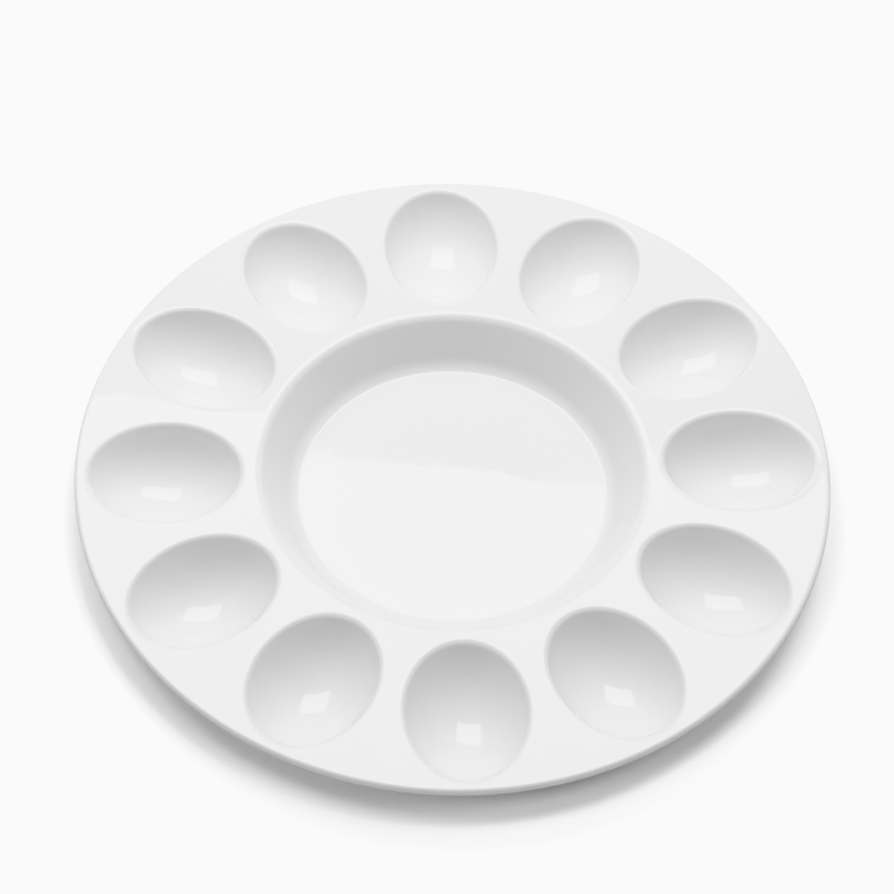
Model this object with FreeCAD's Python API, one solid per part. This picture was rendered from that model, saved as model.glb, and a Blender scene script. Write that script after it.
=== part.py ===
import FreeCAD, Part

import math
import os

# Round porcelain mixing palette: a flat deck with a ring of oval paint wells and one large central dish.
# The real palette is one fired casting. Its regions are kept as separate solids that meet face to face:
# the deck, each well, the central dish and the foot ring that it stands on.
#
# Frame: millimetres, +Z up, origin at the centre of the plane that the palette stands on.
# well_01 lies towards -Y, and the wells are numbered anticlockwise seen from above.

# Overall
overall_diameter = 300.0
deck_thickness = 3.6
rim_edge_radius = 1.6

# Oval wells, measured at the deck's flat top
well_count = 12
well_ring_radius = 114.4
well_length = 65.4
well_width = 50.8
well_depth = 19.0
well_floor_thickness = 3.5
well_lip_radius = 2.4
well_wall_angle = 68.0
well_outside_angle = 72.0

# Central dish
dish_mouth_radius = 79.3
dish_floor_radius = 61.8
dish_depth = 19.0
dish_floor_thickness = 3.4
dish_lip_radius = 5.0
dish_corner_radius = 9.6
dish_corner_end_angle = 18.0
dish_outside_corner_radius = 5.0

# Foot ring under the dish
foot_outer_radius = 62.0
foot_inner_radius = 56.5
foot_height = 3.0
foot_edge_radius = 0.8

# Worked out
overall_radius = overall_diameter / 2
dish_underside = foot_height
deck_top = foot_height + dish_floor_thickness + dish_depth
deck_underside = deck_top - deck_thickness
well_pitch_angle = 360.0 / well_count
first_well_angle = -90.0
up = FreeCAD.Vector(0, 0, 1)
origin = FreeCAD.Vector(0, 0, 0)


def at(radius, height):
    """A point of a profile, which is drawn in the XZ plane."""
    return FreeCAD.Vector(radius, 0, height)


def line(start, end):
    return Part.LineSegment(start, end).toShape()


def round_corner(centre, radius, start_angle, end_angle):
    """An arc about centre, with angles in degrees from +X towards +Z."""
    middle_angle = (start_angle + end_angle) / 2
    points = []
    for angle in (start_angle, middle_angle, end_angle):
        turn = math.radians(angle)
        points.append(centre + at(radius * math.cos(turn), radius * math.sin(turn)))
    return Part.Arc(*points).toShape()


def bowl_curve(edge, bottom, edge_angle):
    """A quarter-ellipse stretch from bottom, where it is level, up to edge, where it slopes at edge_angle.

    With u the ellipse's own angle at edge, (rise / run) / tan(edge_angle) = (1 - tan(u / 2)^2) / 2.
    """
    run = edge.x
    rise = edge.z - bottom.z
    half_turn = math.sqrt(1 - 2 * rise / run / math.tan(math.radians(edge_angle)))
    edge_turn = 2 * math.atan(half_turn)
    half_width = run / math.sin(edge_turn)
    half_height = rise / (1 - math.cos(edge_turn))
    centre = bottom + at(0, half_height)
    ellipse = Part.Ellipse(bottom, centre + at(half_width, 0), centre)
    return Part.ArcOfEllipse(ellipse, 0, edge_turn).toShape()


def turned(edges):
    """The solid that a closed profile sweeps in one turn about the Z axis."""
    face = Part.Face(Part.Wire(Part.__sortEdges__(edges)))
    return face.revolve(origin, up, 360)


def deck_blank():
    """The flat ring with its rounded outer edge, before the wells' mouths are cut."""
    outer = overall_radius
    edge = outer - rim_edge_radius
    return turned([
        line(at(dish_mouth_radius, deck_underside), at(dish_mouth_radius, deck_top)),
        line(at(dish_mouth_radius, deck_top), at(edge, deck_top)),
        round_corner(at(edge, deck_top - rim_edge_radius), rim_edge_radius, 90, 0),
        line(at(outer, deck_top - rim_edge_radius), at(outer, deck_underside + rim_edge_radius)),
        round_corner(at(edge, deck_underside + rim_edge_radius), rim_edge_radius, 0, -90),
        line(at(edge, deck_underside), at(dish_mouth_radius, deck_underside)),
    ])


def placed_as_well(shape, index):
    """Moves a shape built about the Z axis, its length along X, to a well's place in the ring."""
    placed = shape.copy()
    placed.translate(FreeCAD.Vector(well_ring_radius, 0, 0))
    placed.rotate(origin, up, first_well_angle + index * well_pitch_angle)
    return placed


def well_mouth():
    """The upright oval prism that a well fills in the deck."""
    oval = Part.Ellipse(at(0, deck_underside), well_length / 2, well_width / 2)
    face = Part.Face(Part.Wire(oval.toShape()))
    return face.extrude(FreeCAD.Vector(0, 0, deck_thickness))


def deck():
    mouths = [placed_as_well(well_mouth(), index) for index in range(well_count)]
    return deck_blank().cut(mouths)


def well():
    """One oval bowl: a round bowl as wide as the well, stretched along X to the well's length."""
    mouth = well_width / 2
    angle = math.radians(well_wall_angle)
    lip_centre = at(mouth, deck_top - well_lip_radius)
    lip_start = lip_centre + at(-math.sin(angle) * well_lip_radius, math.cos(angle) * well_lip_radius)
    inside_bottom = at(0, deck_top - well_depth)
    outside_bottom = at(0, deck_top - well_depth - well_floor_thickness)
    round_bowl = turned([
        bowl_curve(lip_start, inside_bottom, well_wall_angle),
        round_corner(lip_centre, well_lip_radius, 90 + well_wall_angle, 90),
        line(at(mouth, deck_top), at(mouth, deck_underside)),
        bowl_curve(at(mouth, deck_underside), outside_bottom, well_outside_angle),
        line(outside_bottom, inside_bottom),
    ])
    stretch = FreeCAD.Matrix()
    stretch.scale(FreeCAD.Vector(well_length / well_width, 1, 1))
    return round_bowl.transformGeometry(stretch)


def dish_wall(corner_end):
    """The slope of the straight wall that is tangent to both the floor's corner arc and the lip arc.

    Both arcs' centres are fixed by the mouth, the floor and the radii. The wall is their inner tangent.
    """
    lip_centre = at(dish_mouth_radius, deck_top - dish_lip_radius)
    corner_centre = corner_end + at(
        -dish_corner_radius * math.sin(math.radians(dish_corner_end_angle)),
        dish_corner_radius * math.cos(math.radians(dish_corner_end_angle)),
    )
    between = lip_centre - corner_centre
    lean = math.asin((dish_lip_radius + dish_corner_radius) / between.Length)
    return math.atan2(between.z, between.x) + lean, corner_centre, lip_centre


def centre_dish():
    """The wide dish: flat floor, rounded corner, sloping wall and rolled lip."""
    floor_height = deck_top - dish_depth
    floor_edge = at(dish_floor_radius, floor_height)
    wall, corner_centre, lip_centre = dish_wall(floor_edge)
    outward = at(math.sin(wall), -math.cos(wall))
    corner_end = corner_centre + outward * dish_corner_radius
    lip_start = lip_centre - outward * dish_lip_radius
    wall_slope = math.degrees(wall)
    outside_top = at(dish_mouth_radius, deck_underside)
    outside_centre_height = dish_underside + dish_outside_corner_radius
    tangent_drop = outside_top.z - outside_centre_height + dish_outside_corner_radius * math.cos(wall)
    outside_tangent = outside_top + at(-tangent_drop / math.tan(wall), -tangent_drop)
    outside_centre = outside_tangent - outward * dish_outside_corner_radius
    return turned([
        line(at(0, floor_height), floor_edge),
        round_corner(corner_centre, dish_corner_radius, dish_corner_end_angle - 90, wall_slope - 90),
        line(corner_end, lip_start),
        round_corner(lip_centre, dish_lip_radius, 90 + wall_slope, 90),
        line(at(dish_mouth_radius, deck_top), outside_top),
        line(outside_top, outside_tangent),
        round_corner(outside_centre, dish_outside_corner_radius, wall_slope - 90, -90),
        line(at(outside_centre.x, dish_underside), at(0, dish_underside)),
        line(at(0, dish_underside), at(0, floor_height)),
    ])


def foot_ring():
    """The low ring that the palette stands on, with softened edges around its sole."""
    inner = foot_inner_radius
    outer = foot_outer_radius
    edge = foot_edge_radius
    return turned([
        line(at(inner, foot_height), at(outer, foot_height)),
        line(at(outer, foot_height), at(outer, edge)),
        round_corner(at(outer - edge, edge), edge, 0, -90),
        line(at(outer - edge, 0), at(inner + edge, 0)),
        round_corner(at(inner + edge, edge), edge, -90, -180),
        line(at(inner, edge), at(inner, foot_height)),
    ])


def all_nodes():
    """Every node's name and its solid."""
    nodes = {"deck": deck(), "centre_dish": centre_dish(), "foot_ring": foot_ring()}
    bowl = well()
    for index in range(well_count):
        nodes[f"well_{index + 1:02d}"] = placed_as_well(bowl, index)
    return nodes


os.makedirs("parts", exist_ok=True)
for name, shape in all_nodes().items():
    shape.exportStep(f"parts/{name}.step")
    print(f"{name}: {len(shape.Solids)} solid, valid {shape.isValid()}, {shape.Volume / 1000:.2f} cm3")
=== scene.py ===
import math

import bmesh
import bpy
import numpy as np
from mathutils import Matrix, Vector


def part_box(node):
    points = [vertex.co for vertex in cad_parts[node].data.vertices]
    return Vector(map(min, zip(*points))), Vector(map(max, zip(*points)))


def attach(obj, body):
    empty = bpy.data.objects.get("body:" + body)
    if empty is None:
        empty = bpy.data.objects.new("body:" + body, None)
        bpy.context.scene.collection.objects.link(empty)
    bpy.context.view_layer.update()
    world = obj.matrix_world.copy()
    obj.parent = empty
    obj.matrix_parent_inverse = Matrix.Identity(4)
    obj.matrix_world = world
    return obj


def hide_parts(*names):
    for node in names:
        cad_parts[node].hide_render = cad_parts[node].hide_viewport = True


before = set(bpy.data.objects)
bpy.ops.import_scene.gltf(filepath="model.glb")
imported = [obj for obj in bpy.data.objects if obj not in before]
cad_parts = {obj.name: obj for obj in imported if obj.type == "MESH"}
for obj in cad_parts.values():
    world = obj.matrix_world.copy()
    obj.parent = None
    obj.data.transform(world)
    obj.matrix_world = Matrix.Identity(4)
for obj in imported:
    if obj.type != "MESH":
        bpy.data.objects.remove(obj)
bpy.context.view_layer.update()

# Round porcelain mixing palette: metres, +Z up, standing on z = 0, well_01 towards -Y.
# The glazed casting is one closed mesh of quads. Every sector of 30 degrees is a grid that runs out from
# its well's middle, over the rolled lip, to the sector's edges. The dish, rim and foot are rings around Z.

MM = 0.001
deck_low, deck_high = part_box("deck")
deck_top = deck_high.z
deck_underside = deck_low.z
rim_radius = deck_high.x
foot_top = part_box("foot_ring")[1].z

# Rim: its rounded edge, and a narrow flat strip of mesh that keeps the shading flat beside it
rim_edge_radius = 1.6 * MM
edge_guard = 0.35 * MM

# Oval wells
well_count = 12
well_ring_radius = 114.4 * MM
well_length = 65.4 * MM
well_width = 50.8 * MM
well_depth = 19.0 * MM
well_floor_thickness = 3.5 * MM
well_lip_radius = 2.4 * MM
well_wall_angle = math.radians(68.0)
well_outside_angle = math.radians(72.0)
well_root_radius = 1.2 * MM

# Central dish
dish_mouth_radius = 79.3 * MM
dish_floor_radius = 61.8 * MM
dish_depth = 19.0 * MM
dish_lip_radius = 5.0 * MM
dish_corner_radius = 9.6 * MM
dish_corner_end = math.radians(18.0)
dish_outside_corner_radius = 5.0 * MM
dish_root_radius = 1.3 * MM
dish_core_radius = 50.0 * MM

# Foot ring
foot_outer_radius = 62.0 * MM
foot_inner_radius = 56.5 * MM
foot_edge_radius = 0.8 * MM
foot_root_radius = 1.5 * MM

# Mesh fineness
side_steps = 22
bowl_steps = 16
arc_steps = 8
core_share = 0.3
deck_shares = (0.12, 0.4, 0.7, 1.0)
wall_shares = (0.25, 0.5, 0.75)
ring_steps = side_steps * well_count
sector = 2 * math.pi / well_count
first_well = -math.pi / 2
weld_distance = 0.002 * MM

# Glaze: a clear gloss over white porcelain
glaze_white = (0.869, 0.868, 0.865, 1)
# The second glaze tone is whiter. It is used for random clouds and as painted light that lifts the shade
# towards the bottoms of the hollows.
glaze_cloud_and_painted_light = (0.877, 0.877, 0.878, 1)
glaze_roughness = (0.018, 0.045)
glaze_ior = 1.5
cloud_scale = 30.0
cloud_share = 0.6
wave_scale = 55.0
wave_height = 0.04 * MM
ripple_scale = 240.0
ripple_height = 0.0015 * MM

# The spans of a noise texture's values that a ramp covers: only its middle, or nearly all of it
noise_middle = (0.35, 0.65)
noise_range = (0.3, 0.7)

# Bare porcelain on the sole
bare_light = (0.8, 0.775, 0.73, 1)
bare_dark = (0.7, 0.665, 0.605, 1)
bare_roughness = (0.6, 0.8)
bare_edge_scale = 180.0
bare_edge = (0.25 * MM, 0.6 * MM)
glaze_edge = 0.75 * MM
grain_scale = 2200.0
grain_height = 0.03 * MM

# Camera: seen from the front, a little to the left, at the height of a person who stands at a table
view_elevation = math.radians(53.14)
view_azimuth = math.radians(-4.23)
view_roll = math.radians(2.18)
view_distance = 1.2638
view_aim = Vector((-2.8 * MM, 9.0 * MM, deck_top))
view_lens = 127.6

# Lights, placed as seen from the camera's side
softbox_azimuth = math.radians(-12.3)
softbox_elevation = math.radians(66.7)
softbox_roll = math.radians(14.6)
softbox_distance = 0.784
softbox_size = (0.638, 0.434)
softbox_radiance = 2.89
bank_place = Vector((0, 0.6, 0.95))
bank_size = (1.8, 0.6)
bank_radiance = 0.93
floor_lamp_distance = 3.0
floor_lamp_radius = 0.42
floor_lamps = ({"azimuth": 90, "elevation": 82, "radiance": 21.3},
               {"azimuth": 240, "elevation": 74, "radiance": 14.2},
               {"azimuth": 135, "elevation": 62, "radiance": 10.6},
               {"azimuth": 225, "elevation": 46, "radiance": 13.2})
sky_radiance = 0.44
back_sky_radiance = 0.14
sky_blend = 0.3

# Floor and tone
floor_half = 3.0
floor_gap = 0.05 * MM
floor_white = (0.72, 0.72, 0.72, 1)
shoulder_start = 0.84
shoulder_end = 1.13
shoulder_top = 0.956


# ---------------------------------------------------------------- profiles, as (distance from axis, height)

def arc(centre, radius, start, end, steps=arc_steps):
    turns = np.linspace(start, end, steps + 1)
    return [(centre[0] + radius * math.cos(t), centre[1] + radius * math.sin(t)) for t in turns]


class Bowl:
    """A stretch of ellipse from a level bottom on the axis up to edge, where it slopes at edge_angle."""

    def __init__(self, edge, bottom, edge_angle):
        run = edge[0]
        rise = edge[1] - bottom
        self.edge_turn = 2 * math.atan(math.sqrt(1 - 2 * rise / run / math.tan(edge_angle)))
        self.half_width = run / math.sin(self.edge_turn)
        self.half_height = rise / (1 - math.cos(self.edge_turn))
        self.bottom = bottom

    def point(self, share):
        turn = share * self.edge_turn
        return self.half_width * math.sin(turn), self.bottom + self.half_height * (1 - math.cos(turn))


def well_inside():
    """The well's bowl across its width, and its rolled lip up to the deck's top."""
    centre = (well_width / 2, deck_top - well_lip_radius)
    lip = arc(centre, well_lip_radius, math.pi / 2 + well_wall_angle, math.pi / 2)
    return Bowl(lip[0], deck_top - well_depth, well_wall_angle), lip


def well_outside():
    """The bulge underneath, and its small root at the deck's underside."""
    angle = well_outside_angle
    centre = (well_width / 2 + well_root_radius * math.sin(angle), deck_underside - well_root_radius)
    root = arc(centre, well_root_radius, math.pi / 2 + angle, math.pi / 2)
    return Bowl(root[0], deck_top - well_depth - well_floor_thickness, angle), root


def between(start, end):
    """Points along a straight stretch of wall, without its ends."""
    return [tuple(Vector(start).lerp(Vector(end), share)) for share in wall_shares]


def dish_wall(lip_centre, corner_centre):
    """The slope of the straight wall between the convex lip arc and the concave corner arc."""
    run = lip_centre[0] - corner_centre[0]
    rise = lip_centre[1] - corner_centre[1]
    lean = math.asin((dish_lip_radius + dish_corner_radius) / math.hypot(run, rise))
    return math.atan2(rise, run) + lean


def dish_inside():
    """From the dish's mouth over the lip, down the wall and round the corner to the flat floor's edge."""
    lip_centre = (dish_mouth_radius, deck_top - dish_lip_radius)
    corner_centre = (dish_floor_radius - dish_corner_radius * math.sin(dish_corner_end),
                     deck_top - dish_depth + dish_corner_radius * math.cos(dish_corner_end))
    wall = dish_wall(lip_centre, corner_centre)
    lip = arc(lip_centre, dish_lip_radius, math.pi / 2, math.pi / 2 + wall)
    corner = arc(corner_centre, dish_corner_radius, wall - math.pi / 2, dish_corner_end - math.pi / 2)
    return lip + between(lip[-1], corner[0]) + corner, wall


def dish_outside(wall):
    """From the deck's underside down the outside of the dish to its flat underside."""
    root_centre = (dish_mouth_radius + dish_root_radius * math.sin(wall), deck_underside - dish_root_radius)
    root = arc(root_centre, dish_root_radius, math.pi / 2, math.pi / 2 + wall)
    corner = dish_outside_corner_radius
    drop = root[-1][1] - (foot_top + corner) + corner * math.cos(wall)
    wall_end = (root[-1][0] - drop / math.tan(wall), root[-1][1] - drop)
    centre = (wall_end[0] - corner * math.sin(wall), foot_top + corner)
    bend = arc(centre, corner, wall - math.pi / 2, -math.pi / 2)
    return root + between(root[-1], bend[0]) + bend


# ---------------------------------------------------------------- mesh building

def add_object(name, data):
    piece = bpy.data.objects.new(name, data)
    bpy.context.scene.collection.objects.link(piece)
    return piece


class Skin:
    """Collects points and quads. Rings that meet are welded at the end."""

    def __init__(self):
        self.points = []
        self.faces = []

    def add(self, points):
        start = len(self.points)
        self.points.extend(points)
        return list(range(start, len(self.points)))

    def bands(self, rings):
        """Quads between each ring of points and the next."""
        for ring_a, ring_b in zip(rings, rings[1:]):
            for k in range(len(ring_a)):
                after = (k + 1) % len(ring_a)
                self.faces.append((ring_a[k], ring_a[after], ring_b[after], ring_b[k]))

    def disc(self, steps, place):
        """A square grid bent into a disc by place, which turns unit-disc coordinates into points."""
        places = [2 * i / steps - 1 for i in range(steps + 1)]
        rows = [self.add([place(*square_to_disc(x, y)) for x in places]) for y in places]
        for row, above in zip(rows, rows[1:]):
            for i in range(steps):
                self.faces.append((row[i], row[i + 1], above[i + 1], above[i]))
        right = [row[-1] for row in rows]
        left = [row[0] for row in rows]
        return right[:-1] + rows[-1][:0:-1] + left[:0:-1] + rows[0][:-1]

    def piece(self, name):
        mesh = bpy.data.meshes.new(name)
        mesh.from_pydata([tuple(point) for point in self.points], [], self.faces)
        work = bmesh.new()
        work.from_mesh(mesh)
        bmesh.ops.remove_doubles(work, verts=work.verts, dist=weld_distance)
        bmesh.ops.recalc_face_normals(work, faces=work.faces)
        for face in work.faces:
            face.smooth = True
        work.to_mesh(mesh)
        work.free()
        return add_object(name, mesh)


def square_to_disc(x, y):
    """Concentric map of a square onto the unit disc, which spaces the border's points evenly."""
    if x == 0 and y == 0:
        return 0.0, 0.0
    if abs(x) >= abs(y):
        turn = math.pi / 4 * y / x
        return x * math.cos(turn), x * math.sin(turn)
    turn = math.pi / 4 * x / y
    return y * math.sin(turn), y * math.cos(turn)


def border_directions(steps):
    """Unit directions of a disc grid's border points, in the border's order."""
    turns = [-math.pi / 4 + k * math.pi / 2 / steps for k in range(4 * steps)]
    return [(math.cos(turn), math.sin(turn)) for turn in turns]


def sector_border(inner, outer):
    """Points around one sector, in the border's order, in the sector's own frame with X outwards."""
    half = sector / 2
    turns = np.linspace(-half, half, side_steps + 1)
    reach = np.linspace(inner, outer, side_steps + 1)
    points = [(outer * math.cos(t), outer * math.sin(t)) for t in turns[:-1]]
    points += [(r * math.cos(half), r * math.sin(half)) for r in reach[:0:-1]]
    points += [(inner * math.cos(t), inner * math.sin(t)) for t in turns[:0:-1]]
    points += [(r * math.cos(half), -r * math.sin(half)) for r in reach[:-1]]
    return points


def add_sector(skin, index, bowl, lip, inner, outer):
    """One sector of the deck's top or underside, with its well's bowl or bulge."""
    turn = Matrix.Rotation(first_well + index * sector, 3, "Z")
    stretch = well_length / well_width
    level = lip[-1][1]
    directions = border_directions(side_steps)

    def placed(x, y, z):
        return turn @ Vector((well_ring_radius + x, y, z))

    def core_point(x, y):
        share = math.hypot(x, y)
        r, z = bowl.point(core_share * share)
        spread = r / share if share else 0
        return placed(stretch * x * spread, y * spread, z)

    def oval(r, z):
        return skin.add([placed(stretch * r * x, r * y, z) for x, y in directions])

    profile = [bowl.point(share) for share in np.linspace(core_share, 1, bowl_steps + 1)[1:-1]] + lip
    rings = [skin.disc(side_steps, core_point)] + [oval(r, z) for r, z in profile]
    mouth = [Vector((stretch * lip[-1][0] * x, lip[-1][0] * y)) for x, y in directions]
    border = [Vector((x - well_ring_radius, y)) for x, y in sector_border(inner, outer)]
    for share in deck_shares:
        ring = [placed(*start.lerp(end, share), level) for start, end in zip(mouth, border)]
        rings.append(skin.add(ring))
    skin.bands(rings)


def add_rings(skin, profile):
    """Rings around Z from a profile of (distance, height)."""
    turns = [k * 2 * math.pi / ring_steps for k in range(ring_steps)]
    rings = [skin.add([(r * math.cos(t), r * math.sin(t), z) for t in turns]) for r, z in profile]
    skin.bands(rings)


def add_flat_disc(skin, level):
    """The middle of the dish's floor or underside. Its border matches the rings around Z."""
    skin.disc(ring_steps // 4, lambda x, y: (x * dish_core_radius, y * dish_core_radius, level))


def rim_profile(deck_outer):
    flat_edge = rim_radius - rim_edge_radius
    upper = arc((flat_edge, deck_top - rim_edge_radius), rim_edge_radius, math.pi / 2, 0)
    lower = arc((flat_edge, deck_underside + rim_edge_radius), rim_edge_radius, 0, -math.pi / 2)
    return [(deck_outer, deck_top)] + upper + lower + [(deck_outer, deck_underside)]


def build_body():
    """The whole glazed casting apart from its foot ring."""
    skin = Skin()
    inside, wall = dish_inside()
    outside = dish_outside(wall)
    deck_outer = rim_radius - rim_edge_radius - edge_guard
    top_inner = inside[0][0] + edge_guard
    under_inner = outside[0][0] + edge_guard
    for index in range(well_count):
        add_sector(skin, index, *well_inside(), top_inner, deck_outer)
        add_sector(skin, index, *well_outside(), under_inner, deck_outer)
    floor = deck_top - dish_depth
    floor_edge = dish_floor_radius - edge_guard
    add_rings(skin, rim_profile(deck_outer))
    add_rings(skin, [(top_inner, deck_top)] + inside + [(floor_edge, floor), (dish_core_radius, floor)])
    add_flat_disc(skin, floor)
    add_rings(skin, [(under_inner, deck_underside)] + outside + [(dish_core_radius, foot_top)])
    add_flat_disc(skin, foot_top)
    return skin.piece("palette_body")


def build_foot():
    """The foot ring: flared roots under the dish, upright sides and a soft-edged sole."""
    skin = Skin()
    root = foot_root_radius
    edge = foot_edge_radius
    profile = arc((foot_outer_radius + root, foot_top - root), root, math.pi / 2, math.pi)
    profile += arc((foot_outer_radius - edge, edge), edge, 0, -math.pi / 2)
    profile += arc((foot_inner_radius + edge, edge), edge, -math.pi / 2, -math.pi)
    profile += arc((foot_inner_radius - root, foot_top - root), root, 0, math.pi / 2)
    add_rings(skin, profile + profile[:1])
    return skin.piece("foot_ring_glazed")


# ---------------------------------------------------------------- materials

class Nodes:
    """Short ways to add the nodes of one material. Textures use the object's own coordinates, in metres."""

    def __init__(self, name):
        self.material = bpy.data.materials.new(name)
        self.material.use_nodes = True
        self.tree = self.material.node_tree
        self.place = self.tree.nodes.new("ShaderNodeTexCoord").outputs["Object"]

    def link(self, value, socket):
        """Feeds a socket from another node's output, or sets it to a plain value."""
        if isinstance(value, bpy.types.NodeSocket):
            self.tree.links.new(value, socket)
        else:
            socket.default_value = value

    def height(self):
        node = self.tree.nodes.new("ShaderNodeSeparateXYZ")
        self.link(self.place, node.inputs["Vector"])
        return node.outputs["Z"]

    def noise(self, scale, detail=2.0):
        node = self.tree.nodes.new("ShaderNodeTexNoise")
        self.link(self.place, node.inputs["Vector"])
        self.link(scale, node.inputs["Scale"])
        self.link(detail, node.inputs["Detail"])
        return node.outputs["Fac"]

    def ramp(self, value, low, high, start, end):
        """Smoothly turns a value between low and high into one between start and end."""
        node = self.tree.nodes.new("ShaderNodeMapRange")
        node.interpolation_type = "SMOOTHSTEP"
        names = ("Value", "From Min", "From Max", "To Min", "To Max")
        for name, number in zip(names, (value, low, high, start, end)):
            self.link(number, node.inputs[name])
        return node.outputs["Result"]

    def mix(self, share, first, second):
        """Blends two colours."""
        node = self.tree.nodes.new("ShaderNodeMix")
        node.data_type = "RGBA"
        sockets = {socket.identifier: socket for socket in (*node.inputs, *node.outputs)}
        self.link(share, sockets["Factor_Float"])
        self.link(first, sockets["A_Color"])
        self.link(second, sockets["B_Color"])
        return sockets["Result_Color"]

    def bump(self, height, distance, strength=1.0, below=None):
        """Relief of this height, in metres, on top of any relief below it."""
        node = self.tree.nodes.new("ShaderNodeBump")
        self.link(height, node.inputs["Height"])
        self.link(distance, node.inputs["Distance"])
        self.link(strength, node.inputs["Strength"])
        if below:
            self.link(below, node.inputs["Normal"])
        return node.outputs["Normal"]

    def finish(self, colour, roughness, normal):
        shader = self.tree.nodes["Principled BSDF"]
        self.link(colour, shader.inputs["Base Color"])
        self.link(roughness, shader.inputs["Roughness"])
        self.link(normal, shader.inputs["Normal"])
        shader.inputs["IOR"].default_value = glaze_ior
        return self.material


def glaze(nodes):
    """Clear gloss: faintly clouded, whiter towards the bottoms of the hollows as painted light that lifts
    their shade, and gently wavy.
    """
    cloud = nodes.noise(cloud_scale)
    clouded = nodes.ramp(cloud, *noise_middle, 0.0, cloud_share)
    # Painted light: the glaze turns whiter towards the bottoms of the wells and dish, lifting their shade.
    # On the deck only the random clouds mix in.
    cloud_and_painted_light_share = nodes.ramp(nodes.height(), deck_top - well_depth, deck_top, 1.0, clouded)
    colour = nodes.mix(cloud_and_painted_light_share, glaze_white, glaze_cloud_and_painted_light)
    roughness = nodes.ramp(cloud, *noise_range, *glaze_roughness)
    waves = nodes.bump(nodes.noise(wave_scale), wave_height)
    return colour, roughness, nodes.bump(nodes.noise(ripple_scale), ripple_height, below=waves)


def glaze_material():
    nodes = Nodes("porcelain_glaze")
    return nodes.finish(*glaze(nodes))


def foot_material():
    """Glaze that stops short of the sole in a wandering line, and bare, grainy porcelain below it."""
    nodes = Nodes("foot_glaze_and_sole")
    colour, roughness, relief = glaze(nodes)
    stop = nodes.ramp(nodes.noise(bare_edge_scale), *noise_middle, *bare_edge)
    bare = nodes.ramp(nodes.height(), stop, glaze_edge, 1.0, 0.0)
    grain = nodes.noise(grain_scale, detail=4.0)
    bare_colour = nodes.mix(grain, bare_light, bare_dark)
    bare_rough = nodes.ramp(grain, *noise_range, *bare_roughness)
    return nodes.finish(
        nodes.mix(bare, colour, bare_colour),
        nodes.ramp(bare, 0.0, 1.0, roughness, bare_rough),
        nodes.bump(grain, grain_height, strength=bare, below=relief),
    )


# ---------------------------------------------------------------- stage, light and camera

def build_floor():
    mesh = bpy.data.meshes.new("studio_floor")
    signs = ((-1, -1), (1, -1), (1, 1), (-1, 1))
    corners = [(x * floor_half, y * floor_half, -floor_gap) for x, y in signs]
    mesh.from_pydata(corners, [], [(0, 1, 2, 3)])
    material = bpy.data.materials.new("studio_floor")
    material.use_nodes = True
    shader = material.node_tree.nodes["Principled BSDF"]
    shader.inputs["Base Color"].default_value = floor_white
    shader.inputs["Roughness"].default_value = 1.0
    shader.inputs["Specular IOR Level"].default_value = 0.0
    mesh.materials.append(material)
    return add_object("studio_floor", mesh)


def camera_turn():
    return Matrix.Rotation(view_azimuth, 3, "Z")


def build_camera():
    data = bpy.data.cameras.new("camera")
    data.lens = view_lens
    camera = add_object("camera", data)
    back = Vector((0, -math.cos(view_elevation), math.sin(view_elevation)))
    tilt = Matrix.Rotation(math.pi / 2 - view_elevation, 3, "X")
    roll = Matrix.Rotation(view_roll, 3, "Z")
    camera.location = camera_turn() @ (view_aim + back * view_distance)
    camera.rotation_euler = (camera_turn() @ tilt @ roll).to_euler()
    bpy.context.scene.camera = camera


def place_light(light, location, side, away):
    """Puts a light at location, its width along side, shining against away, as seen from the camera."""
    axes = Matrix((side, away.cross(side), away)).transposed()
    light.location = camera_turn() @ location
    light.rotation_euler = (camera_turn() @ axes).to_euler()


def build_panel(name, size, radiance):
    """A soft panel. An area light of this power shines evenly with the radiance asked for."""
    data = bpy.data.lights.new(name, "AREA")
    data.shape = "RECTANGLE"
    data.size, data.size_y = size
    data.energy = math.pi * data.size * data.size_y * radiance
    return add_object(name, data)


def aim_light(light, azimuth, elevation, distance, height, roll=0.0):
    """Hangs a light in this direction from the palette's middle, facing it. Azimuth 0 is the back."""
    level = math.cos(elevation)
    away = Vector((math.sin(azimuth) * level, math.cos(azimuth) * level, math.sin(elevation)))
    across = Vector((math.cos(azimuth), -math.sin(azimuth), 0))
    side = across * math.cos(roll) - away.cross(across) * math.sin(roll)
    place_light(light, away * distance + Vector((0, 0, height)), side, away)


def build_softbox():
    """The panel above and behind the palette, whose outline shows in every well."""
    light = build_panel("softbox", softbox_size, softbox_radiance)
    aim_light(light, softbox_azimuth, softbox_elevation, softbox_distance, deck_top, softbox_roll)


def build_bank():
    """A long diffused bank overhead at the back, too soft to show as a reflection."""
    light = build_panel("bank", bank_size, bank_radiance)
    place_light(light, bank_place, Vector((1, 0, 0)), Vector((0, 0, 1)))
    light.visible_glossy = False


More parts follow.
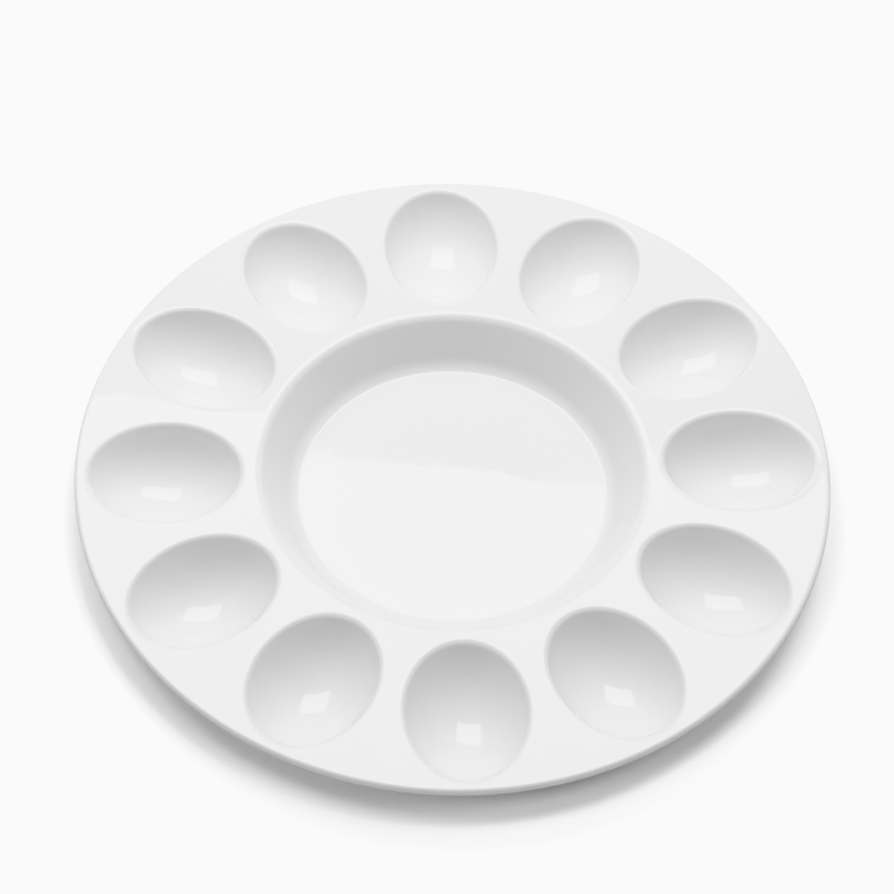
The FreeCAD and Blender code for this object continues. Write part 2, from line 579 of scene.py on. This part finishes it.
def build_floor_lamps(floor):
    """Round lamps kept to the floor, which lift it to white and leave the contact shadow."""
    lit = bpy.data.collections.new("lit_by_floor_lamps")
    lit.objects.link(floor)
    for lamp in floor_lamps:
        data = bpy.data.lights.new("floor_lamp", "AREA")
        data.shape = "DISK"
        data.size = 2 * floor_lamp_radius
        data.energy = (math.pi * floor_lamp_radius) ** 2 * lamp["radiance"]
        data.cycles.max_bounces = 0
        light = add_object("floor_lamp", data)
        light.light_linking.receiver_collection = lit
        azimuth = math.radians(lamp["azimuth"])
        elevation = math.radians(lamp["elevation"])
        aim_light(light, azimuth, elevation, floor_lamp_distance, 0.0)


def build_world():
    """An even sky that is brighter behind the palette than on the camera's side."""
    world = bpy.data.worlds.new("studio")
    bpy.context.scene.world = world
    world.use_nodes = True
    tree = world.node_tree
    place = tree.nodes.new("ShaderNodeTexCoord")
    dot = tree.nodes.new("ShaderNodeVectorMath")
    dot.operation = "DOT_PRODUCT"
    dot.inputs[1].default_value = camera_turn() @ Vector((0, 1, 0))
    blend = tree.nodes.new("ShaderNodeMapRange")
    blend.interpolation_type = "SMOOTHSTEP"
    blend.inputs["From Min"].default_value = -sky_blend
    blend.inputs["From Max"].default_value = sky_blend
    blend.inputs["To Min"].default_value = sky_radiance
    blend.inputs["To Max"].default_value = sky_radiance + back_sky_radiance
    tree.links.new(place.outputs["Generated"], dot.inputs[0])
    tree.links.new(dot.outputs["Value"], blend.inputs["Value"])
    tree.links.new(blend.outputs["Result"], tree.nodes["Background"].inputs["Strength"])
    tree.nodes["Background"].inputs["Color"].default_value = (1, 1, 1, 1)


def set_tone():
    """Standard view with a soft shoulder, so the brightest glaze stays apart from the white floor."""
    settings = bpy.context.scene.view_settings
    settings.view_transform = "Standard"
    settings.use_curve_mapping = True
    mapping = settings.curve_mapping
    mapping.extend = "HORIZONTAL"
    mapping.white_level = (shoulder_end,) * 3
    curve = mapping.curves[3]
    curve.points[1].location = (1, shoulder_top)
    curve.points.new(shoulder_start / shoulder_end, shoulder_start)
    for point in curve.points:
        point.handle_type = "VECTOR"
    mapping.update()


# ---------------------------------------------------------------- the object and its studio

well_nodes = [f"well_{index + 1:02d}" for index in range(well_count)]

body = build_body()
body.data.materials.append(glaze_material())
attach(body, "root")
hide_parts("deck", "centre_dish", *well_nodes)

foot = build_foot()
foot.data.materials.append(foot_material())
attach(foot, "root")
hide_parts("foot_ring")

studio_floor = build_floor()
build_camera()
build_softbox()
build_bank()
build_floor_lamps(studio_floor)
build_world()
set_tone()
